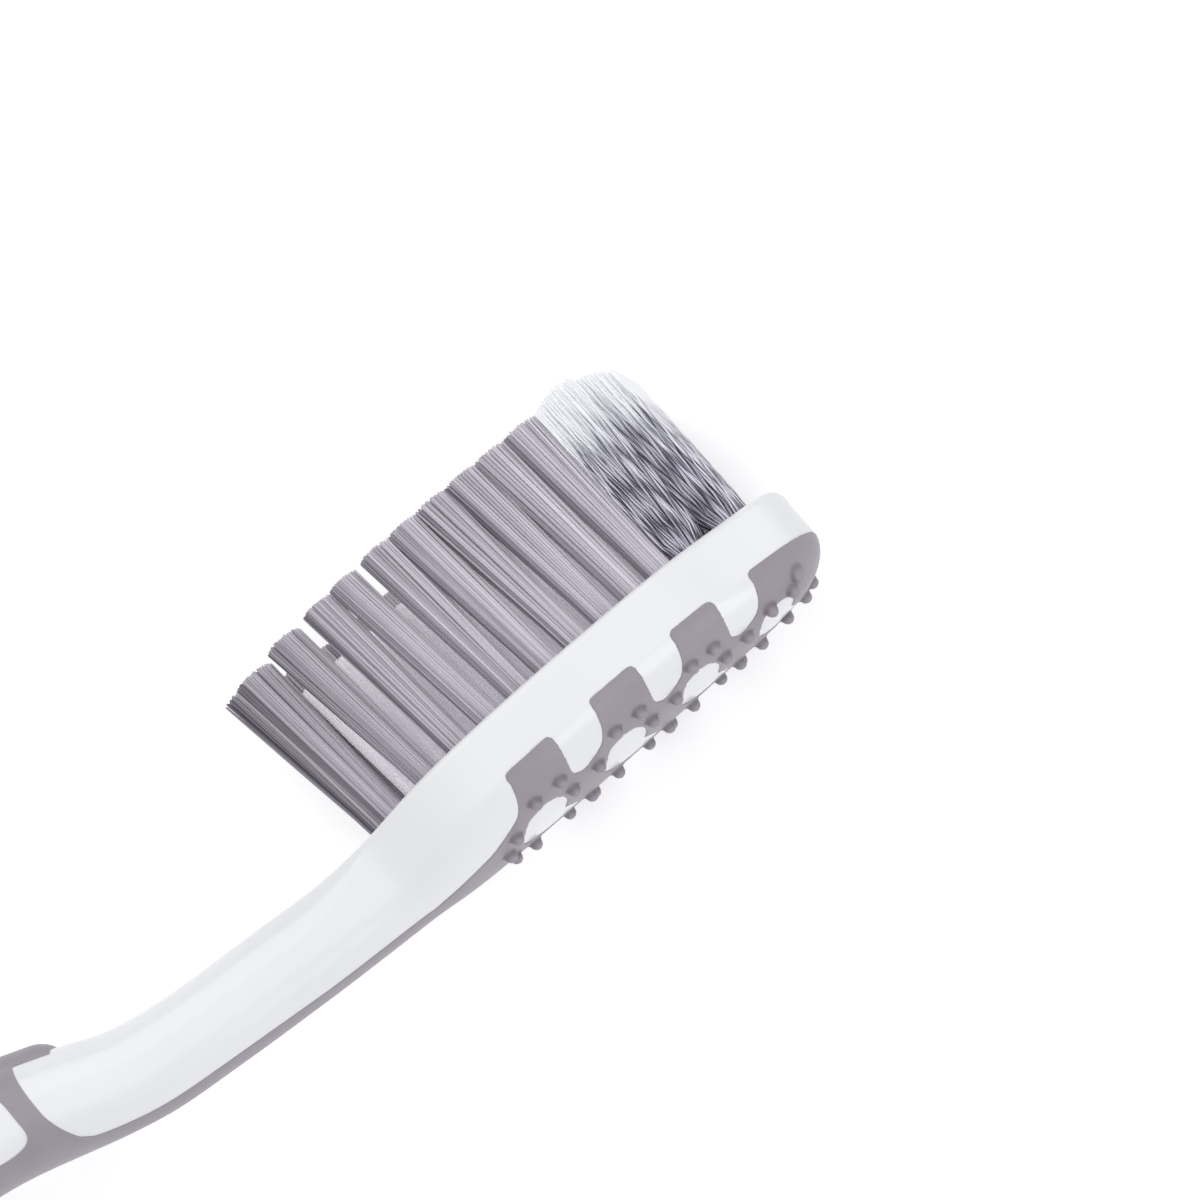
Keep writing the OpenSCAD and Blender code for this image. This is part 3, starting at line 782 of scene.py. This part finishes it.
def buildCleaner():
    zone = outlineBlock(roundedLoop(cleanerOutline()), -blockReach, 0, "back")
    for k in range(cleaner["cells"]):
        shift = cleaner["toeWindowShift"] if k == cleaner["cells"] - 1 else 0
        drop = mirroredLoop(cellRows(cleaner["drop"], cleaner["firstWindow"] - shift, k))
        cutWith(zone, outlineBlock(roundedLoop(drop), -blockReach - past, past, "back"))
    cutWith(zone, outlineBlock(tabOutline(), -halfWidth - past, halfWidth + past, "side"), "INTERSECT")
    skin = softSkin("cleaner", -body["softProud"], headEnd + cleaner["intoGrip"])
    cutWith(skin, zone, "INTERSECT")
    cutWith(skin, softCore(cleaner["softThickness"], headEnd + 2 * past))
    model = modelNub()
    places = cellRows(cleaner["heelNubs"], cleaner["firstWindow"], 0)
    for k in range(cleaner["cells"]):
        rows = cleaner["toeNubs"] if k == cleaner["cells"] - 1 else cleaner["nubs"]
        places += cellRows(rows, cleaner["firstWindow"], k)
    parts = [skin]
    for u, w in places:
        for side in (w, -w):
            nub = copyOf(model, "nub")
            nub.location = spot(u, backSurface(u, side), side)
            parts.append(nub)
    bpy.data.objects.remove(model)
    skin = joined(parts)
    softened(skin)
    paintNubFootShade(skin, places)
    return finishPiece(skin, "tongueCleaner", ["tongue_cleaner"], softMaterial)


softMaterial = softPlastic()
buildCleaner()

print("stage: grip")
grip = {
    "band": 52.4, "bandWidth": 1.3, "windows": 5, "windowLength": 13, "thumbLift": 0.57,
    "thumbLength": 48, "thumbNose": 0.9,
    "thumbLead": 1.6,  # the pad starts this many band widths before the first band
    "padAngle": 31,  # how far round the neck the pad reaches, in degrees
    "stripEndFromTail": 17, "stripShare": 0.14, "padShare": 0.8, "padEndRound": 5.2,
    "cornerPower": 0.45, "windowPoints": 144,  # how square the windows are, and how finely drawn
    "stripOverlap": 0.4, "stripeOverlap": 0.5,  # how far they reach into the bands
    "stripe": [
        (0, 1), (0.25, 1), (0.5, 1.2), (0.74, 1.3), (0.88, 1.5), (0.95, 1.75), (0.98, 2.3), (1, 3.4),
    ],
}
thumbStart = grip["band"] - grip["thumbLead"] * grip["bandWidth"]
bandsEnd = grip["band"] + grip["bandWidth"] + grip["windows"] * (grip["windowLength"] + grip["bandWidth"])
stripStart = bandsEnd - grip["stripOverlap"]
stripEnd = body["length"] - grip["stripEndFromTail"]
stripeEnd = grip["band"] + grip["stripeOverlap"]
gripReach = body["length"] / 8
gripWide = halfWidth + past


def thumbLift(u):
    end = thumbStart + grip["thumbLength"]
    return grip["thumbLift"] * nose(u - thumbStart, grip["thumbNose"]) * nose(end - u, grip["padEndRound"])


def spaced(start, end, steps):
    return [start + (end - start) * k / steps for k in range(steps + 1)]


def squared(x):
    return math.copysign(abs(x) ** grip["cornerPower"], x)


def windowOutline(k):
    start = grip["band"] + grip["bandWidth"] + k * (grip["windowLength"] + grip["bandWidth"])
    low, high = grip["stripShare"], grip["padShare"]
    points = []
    for i in range(grip["windowPoints"]):
        angle = fullTurn * i / grip["windowPoints"]
        u = start + grip["windowLength"] / 2 * (1 + squared(math.cos(angle)))
        share = (low + high + (high - low) * squared(math.sin(angle))) / 2
        points.append((u, backOf(u) + thickness(u) * share))
    return points


def padHalf(u):
    flat = planHalf(u) * curveAt(flatRows, u)
    return flat + (planHalf(u) - flat) * math.sin(math.radians(grip["padAngle"]))


# The strip along the back of the handle, from the last band to near the tail.
def backStrip():
    edge = [
        (u, backOf(u) + thickness(u) * grip["stripShare"] * nose(stripEnd - u, grip["bandWidth"] * 2))
        for u in spaced(stripStart, stripEnd, steps=40)
    ]
    return outlineBlock(
        edge + [(stripEnd, -gripReach), (stripStart, -gripReach)], -gripWide, gripWide, "side"
    )


# The stripe under the neck, from the cleaner to the first band.
def neckStripe():
    span = grip["band"] - headEnd
    half = [(headEnd + span * s, cleaner["stripeHalf"] * h) for s, h in grip["stripe"]]
    edge = [(u, curveAt(half, u)) for u in spaced(headEnd, grip["band"], steps=40)]
    edge.append((stripeEnd, edge[-1][1]))
    stripe = outlineBlock(mirroredLoop(edge), -gripReach, gripReach, "back")
    middle = [(u, curveAt(middleRows, u)) for u in spaced(headEnd, stripeEnd, steps=16)]
    lower = outlineBlock(
        middle + [(stripeEnd, -gripReach), (headEnd, -gripReach)], -gripWide, gripWide, "side"
    )
    return cutWith(stripe, lower, "INTERSECT")


# All the room in which the body's skin is soft.
def gripZone():
    start = grip["band"]
    corners = [(start, -gripReach), (bandsEnd, -gripReach), (bandsEnd, gripReach), (start, gripReach)]
    zone = outlineBlock(corners, -gripWide, gripWide, "side")
    padEdge = [(u, padHalf(u)) for u in spaced(thumbStart, stripeEnd, steps=8)]
    pad = outlineBlock(mirroredLoop(padEdge), curveAt(middleRows, start), gripReach, "back")
    cutWith(zone, pad, "UNION")
    for k in range(grip["windows"]):
        cutWith(zone, outlineBlock(windowOutline(k), -gripWide - past, gripWide + past, "side"))
    cutWith(zone, backStrip(), "UNION")
    return cutWith(zone, neckStripe(), "UNION")


def buildGrip():
    zone = gripZone()
    noseEnd = thumbStart + grip["thumbNose"]
    noseSteps = [noseEnd - grip["thumbNose"] * math.cos(quarter * k / 6) for k in range(7)]
    skin = softSkin("grip", headEnd - past, stripEnd + past, thumbLift, gap=0.5, extra=noseSteps)
    cutWith(skin, zone, "INTERSECT")
    cutWith(skin, softCore(headEnd - 2 * past, stripEnd + 2 * past))
    keptInBox(skin)
    return finishPiece(skin, "softGrip", ["grip"], softMaterial, smoothAngle=32)


buildGrip()

print("stage: tufts")
# The strands of each kind of tuft: how many and how thick, and how they spread, bow and crimp.
strands = {
    "outer": {
        "count": 150, "width": 0.13, "sides": 5, "rings": 3, "baseFill": 0.93, "flare": 1.05,
        "bow": 0.04, "crimp": 0, "uneven": 0.005, "square": 0, "slot": "outer_bristles",
    },
    "inner": {
        "count": 120, "width": 0.14, "sides": 5, "rings": 3, "baseFill": 0.93, "flare": 0.8,
        "bow": 0.02, "crimp": 0, "uneven": 0.012, "square": 0, "slot": "inner_bristles",
    },
    "tip": {
        "count": 225, "width": 0.15, "sides": 3, "rings": 15, "baseFill": 0.92, "flare": 0.22,
        "bow": 0.03, "crimp": 0.045, "uneven": 0.012, "square": 0.9, "slot": "tip_bristles",
    },
    # turn from one to the next, gap between them in the model, and how deep in the hole they start
    "seedTurn": 137.5, "gap": 1.0, "root": 2.8, "roundEnd": 0.004, "endWidth": 0.75,
    "tipJitter": 0.04, "placeJitter": 0.05, "pastLimit": 0.15, "clumpWaves": (5, 11),
    "crimpLength": 2.1, "crimpSide": 0.6, "crimpStart": 8, "twistLength": 2.7,
}
# How light the strands are, from 0 to 1, which their material turns into a colour. Part of it is
# painted shade: on the heel side of each outer tuft, and towards the roots of the inner tufts.
strandTone = {
    "outer": 0.62, "heelward": 0.12, "tint": 0.3, "clump": 0.13,
    "heelFrom": 0.3, "heelOver": 0.3, "heelPaintedShade": 0.36, "toePaler": 0.29, "toePalerTo": 0.83,
    "innerRise": 0.75, "innerTint": 0.25, "tip": 0.43, "tipRise": 0.3,
    "whiteFrom": 0.5, "whiteSpread": 0.26, "whiteOver": 0.18,
}


# One strand with its rings at heights from 0 to 1, copied along x until there are enough of them.
def modelStrands(kind):
    plan = strands[kind]
    radius = plan["width"] / 2
    bpy.ops.mesh.primitive_circle_add(vertices=plan["sides"], radius=radius, fill_type="NGON")
    model = bpy.context.object
    editAll()
    step = (1 - strands["roundEnd"]) / plan["rings"]
    for _ in range(plan["rings"]):
        extrudeBy((0, 0, step))
    extrudeBy((0, 0, strands["roundEnd"]))
    bpy.ops.transform.resize(value=(strands["endWidth"], strands["endWidth"], 1), center_override=(0, 0, 1))
    facedOut()
    return withModifier(
        model, "ARRAY", count=plan["count"], use_relative_offset=False,
        use_constant_offset=True, constant_offset_displace=(strands["gap"], 0, 0),
    )


# Where each strand of a tuft starts and ends, with its own bow, wave and shade.
def strandRows(row):
    node, kind, u, w, _, spread = row
    plan = strands[kind]
    holeHalf = tufts["holes"][kind] / 2
    lift = tufts["heelExtra"] if node.startswith("heel") else 0
    # the tips of the toe's bristles spread towards each other, and not past the rim of their holes
    toeLimit = (
        headEnd * tufts["tipShares"][-1][0] - holeHalf * plan["baseFill"],
        headEnd * tufts["tipShares"][0][0] + holeHalf * plan["baseFill"],
    )
    draw = random.Random(node)

    def jitter(size):
        return draw.uniform(-size, size)

    spin, firstClump, secondClump = (draw.uniform(0, fullTurn) for _ in range(3))
    fewWaves, manyWaves = strands["clumpWaves"]
    rows = []
    for i in range(plan["count"]):
        turn = spin + math.radians(strands["seedTurn"]) * i
        out = math.sqrt((i + 0.5) / plan["count"])
        base = holeHalf * plan["baseFill"] * out
        along, side = math.cos(turn), math.sin(turn)
        corner = 1 / max(abs(along), abs(side)) - 1
        tip = holeHalf * spread * out * (1 + plan["square"] * corner) + jitter(strands["tipJitter"])
        tipAlong = u + tip * along + jitter(strands["placeJitter"])
        if kind == "tip":
            kept = clamp(tipAlong, *toeLimit)
            tipAlong = kept + (tipAlong - kept) * strands["pastLimit"]
        height = topLine(kind, tipAlong) + lift + jitter(plan["uneven"])
        rows.append((
            u + base * along, w + base * side,
            tipAlong, w + tip * side + jitter(strands["placeJitter"]), height,
            jitter(plan["bow"]), jitter(plan["bow"]),
            draw.uniform(0, fullTurn), draw.uniform(0, fullTurn), along * out, draw.random(), draw.random(),
            math.sin(fewWaves * turn + firstClump) + math.sin(manyWaves * turn + secondClump),
        ))
    return rows


# Each outer tuft is darker on its heel side, which is painted shade of the side turned from the light,
# and paler the nearer it stands to the toe. The strands of the inner tufts get lighter as they rise,
# which is painted shade at their roots between the rows, and those of the toe's tufts get lighter as they
# rise.
def toneOf(kind, u, rise, heelward, tint, clump):
    if kind == "inner":
        # painted shade: the inner strands are darker towards their roots, between the rows
        return strandTone["innerRise"] * rise + strandTone["innerTint"] * tint
    if kind == "tip":
        return strandTone["tip"] + strandTone["tipRise"] * rise + strandTone["tint"] * (tint - 0.5)
    # painted shade on the heel side of each outer tuft
    heelShade = np.clip((heelward - strandTone["heelFrom"]) / strandTone["heelOver"], 0, 1)
    return (
        strandTone["outer"] - strandTone["heelward"] * heelward + strandTone["tint"] * (tint - 0.5)
        + strandTone["clump"] * clump - strandTone["heelPaintedShade"] * heelShade
        + strandTone["toePaler"] * (1 - u / (strandTone["toePalerTo"] * headEnd))
    )


# Puts the strands of a copy where they stand in the tuft, from the root in the hole to the tip.
def buildTuft(model, row, material):
    node, kind, u, _, lean, _ = row
    plan = strands[kind]
    tuft = copyOf(model, node)
    mesh = tuft.data
    points = np.empty(len(mesh.vertices) * 3)
    mesh.vertices.foreach_get("co", points)
    x, y, share = points.reshape(-1, 3).T
    number = np.rint(x / strands["gap"]).astype(int)
    x = x - number * strands["gap"]
    (
        baseAlong, baseSide, tipAlong, tipSide, height, bowAlong, bowSide,
        waveTurn, waveStart, heelward, tint, whiteStart, clump,
    ) = np.array(strandRows(row))[number].T
    over = share * (height + strands["root"]) - strands["root"]
    rise = np.clip(over / height, 0, 1)
    flare = rise ** plan["flare"]
    bend = np.sin(rise * math.pi)
    swing = np.sin(over / strands["crimpLength"] * fullTurn + waveStart)
    wave = plan["crimp"] * swing * np.clip(rise * strands["crimpStart"], 0, 1)
    along = baseAlong + (tipAlong - baseAlong) * flare + bowAlong * bend + over * math.tan(math.radians(lean))
    side = baseSide + (tipSide - baseSide) * flare + bowSide * bend
    along = along + wave * np.cos(waveTurn) + x
    side = side + wave * np.sin(waveTurn) * strands["crimpSide"] + y
    placed = np.stack([toeX - along, faceY + over, middleZ + side], axis=1)
    mesh.vertices.foreach_set("co", placed.ravel())
    marks = {"tone": np.clip(toneOf(kind, u, rise, heelward, tint, clump), 0, 1)}
    if kind == "tip":
        around = np.arctan2(y, x) * np.where(number % 2, 1, -1)
        white = rise - strandTone["whiteFrom"] - strandTone["whiteSpread"] * whiteStart
        marks["turn"] = over / strands["twistLength"] * fullTurn + waveTurn
        marks["aroundCos"] = np.cos(around)
        marks["aroundSin"] = np.sin(around)
        marks["whitening"] = np.clip(white / strandTone["whiteOver"], 0, 1)
    for name, values in marks.items():
        mesh.attributes.new(name, "FLOAT", "POINT").data.foreach_set("value", values)
    mesh.update()
    pickOnly(tuft)
    editAll()
    facedOut()
    words = node.split("_")
    name = words[0] + "".join(word.capitalize() for word in words[1:])
    return finishPiece(tuft, name, [node], material, smoothAngle=50)


strandMaterials = {
    "outer": strandPlastic("greyStrands", [
        (0.0, (0.15, 0.134, 0.166)), (0.3, (0.26, 0.24, 0.284)),
        (0.55, (0.43, 0.403, 0.456)), (1.0, (0.62, 0.59, 0.655)),
    ]),
    "inner": strandPlastic("paleStrands", [
        (0.0, (0.72, 0.69, 0.76)), (1.0, (0.95, 0.92, 0.97)),
    ]),
    "tip": strandPlastic("crimpedStrands", [
        (0.0, (0.035, 0.034, 0.05)), (0.3, (0.14, 0.138, 0.18)),
        (0.6, (0.57, 0.56, 0.65)), (1.0, (0.9, 0.89, 0.96)),
    ], strandFinish["whiteTip"]),
}


def buildTufts():
    models = {kind: modelStrands(kind) for kind in ("outer", "inner", "tip")}
    pieces = {kind: [] for kind in models}
    for row in tuftList():
        pieces[row[1]].append(buildTuft(models[row[1]], row, strandMaterials[row[1]]))
    for model in models.values():
        bpy.data.objects.remove(model)
    return pieces


tuftPieces = buildTufts()

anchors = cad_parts["tuft_anchors"]
anchors.data.materials.clear()
anchors.data.materials.append(anchorMetal())

print("stage: floor, light and camera")
studio = {
    "floorSize": 2.0, "floorDrop": 0.00002, "floorColour": (0.82, 0.82, 0.83), "floorLift": 0.43,
    "worldLight": 0.43, "lampDistance": 1.3,
    "lamps": {  # direction from the brush, width, and how light a facing white surface gets
        "topLamp": ((-0.1, -0.1, 1.0), 1.5, 0.21),
        "tipsLamp": ((-0.1, 0.75, 0.65), 1.4, 0.4),
        "backLamp": ((0.15, -0.85, 0.42), 1.2, 0.36),
        "toeLamp": ((0.85, 0.1, 0.4), 0.9, 0.11),
    },
    # lights only the bristles, which pass it on to each other as nylon does
    "tuftLamps": {"outer": 0.27, "inner": 0.41, "tip": 0.26}, "tuftLampFrom": ((0.13, -0.15, 0.97), 0.2),
}
cameraPlan = {
    "target": (0.08375, -0.00119, 0.0063), "back": (0.11, -0.211, 0.971),
    "distance": 0.362, "nearest": 0.01, "lens": 200, "sensor": 36, "roll": 41.5,
}


# How much a ray sees the plain white background: camera, glossy and transmission rays do.
def seenRay(nodes, links):
    path = nodes.new("ShaderNodeLightPath")
    seen = path.outputs["Is Camera Ray"]
    for output in ("Is Glossy Ray", "Is Transmission Ray"):
        seen = mathOn(nodes, links, "MAXIMUM", seen, path.outputs[output])
    return seen


def buildFloor():
    bpy.ops.object.select_all(action="DESELECT")
    bpy.ops.mesh.primitive_plane_add(size=studio["floorSize"], location=(0, 0, -studio["floorDrop"]))
    floor = bpy.context.object
    floor.name = "floor"
    material, nodes, links, shader = newMaterial("paleFloor")
    shader.inputs["Base Color"].default_value = (*studio["floorColour"], 1)
    shader.inputs["Roughness"].default_value = 1
    shader.inputs["Specular IOR Level"].default_value = 0
    shader.inputs["Emission Color"].default_value = (1, 1, 1, 1)
    lift = mathOn(nodes, links, "MULTIPLY", seenRay(nodes, links), studio["floorLift"])
    links.new(lift, shader.inputs["Emission Strength"])
    floor.data.materials.append(material)


def buildWorld():
    world = bpy.data.worlds.new("studio")
    bpy.context.scene.world = world
    world.use_nodes = True
    nodes, links = world.node_tree.nodes, world.node_tree.links
    light = nodes["Background"]
    light.inputs["Color"].default_value = (1, 1, 1, 1)
    level = rangeOn(nodes, links, seenRay(nodes, links), studio["worldLight"], 1)
    links.new(level, light.inputs["Strength"])


def addLamp(name, direction, size, level):
    target = Vector(cameraPlan["target"])
    away = Vector(direction).normalized()
    lamp = bpy.data.lights.new(name, "AREA")
    lamp.energy = level * (math.pi * studio["lampDistance"]) ** 2
    lamp.shape = "DISK"
    lamp.size = size
    holder = bpy.data.objects.new(name, lamp)
    bpy.context.scene.collection.objects.link(holder)
    holder.location = target + away * studio["lampDistance"]
    holder.rotation_euler = away.to_track_quat("Z", "Y").to_euler()
    return holder


def buildCamera():
    back = Vector(cameraPlan["back"]).normalized()
    along = (Vector((1, 0, 0)) - back * back.x).normalized()
    across = back.cross(along)
    roll = math.radians(cameraPlan["roll"])
    right = along * math.cos(roll) - across * math.sin(roll)
    up = along * math.sin(roll) + across * math.cos(roll)
    lens = bpy.data.cameras.new("camera")
    lens.lens = cameraPlan["lens"]
    lens.sensor_width = cameraPlan["sensor"]
    lens.clip_start = cameraPlan["nearest"]
    camera = bpy.data.objects.new("camera", lens)
    bpy.context.scene.collection.objects.link(camera)
    place = Vector(cameraPlan["target"]) + back * cameraPlan["distance"]
    camera.matrix_world = Matrix.Translation(place) @ Matrix((right, up, back)).transposed().to_4x4()
    bpy.context.scene.camera = camera


buildFloor()
buildWorld()
for lampName, lampPlan in studio["lamps"].items():
    addLamp(lampName, *lampPlan)
solidGroup = bpy.data.collections.new("solids")
solidGroup.objects.link(whiteBody)
for kind, level in studio["tuftLamps"].items():
    group = bpy.data.collections.new(kind)
    for tuft in tuftPieces[kind]:
        group.objects.link(tuft)
    lamp = addLamp(kind + "Lamp", *studio["tuftLampFrom"], level)
    lamp.light_linking.receiver_collection = group
    if kind != "outer":  # the rows in front don't take this light from the inner and toe tufts
        lamp.light_linking.blocker_collection = solidGroup
buildCamera()
bpy.context.scene.view_settings.view_transform = "Standard"

print("stage: done")
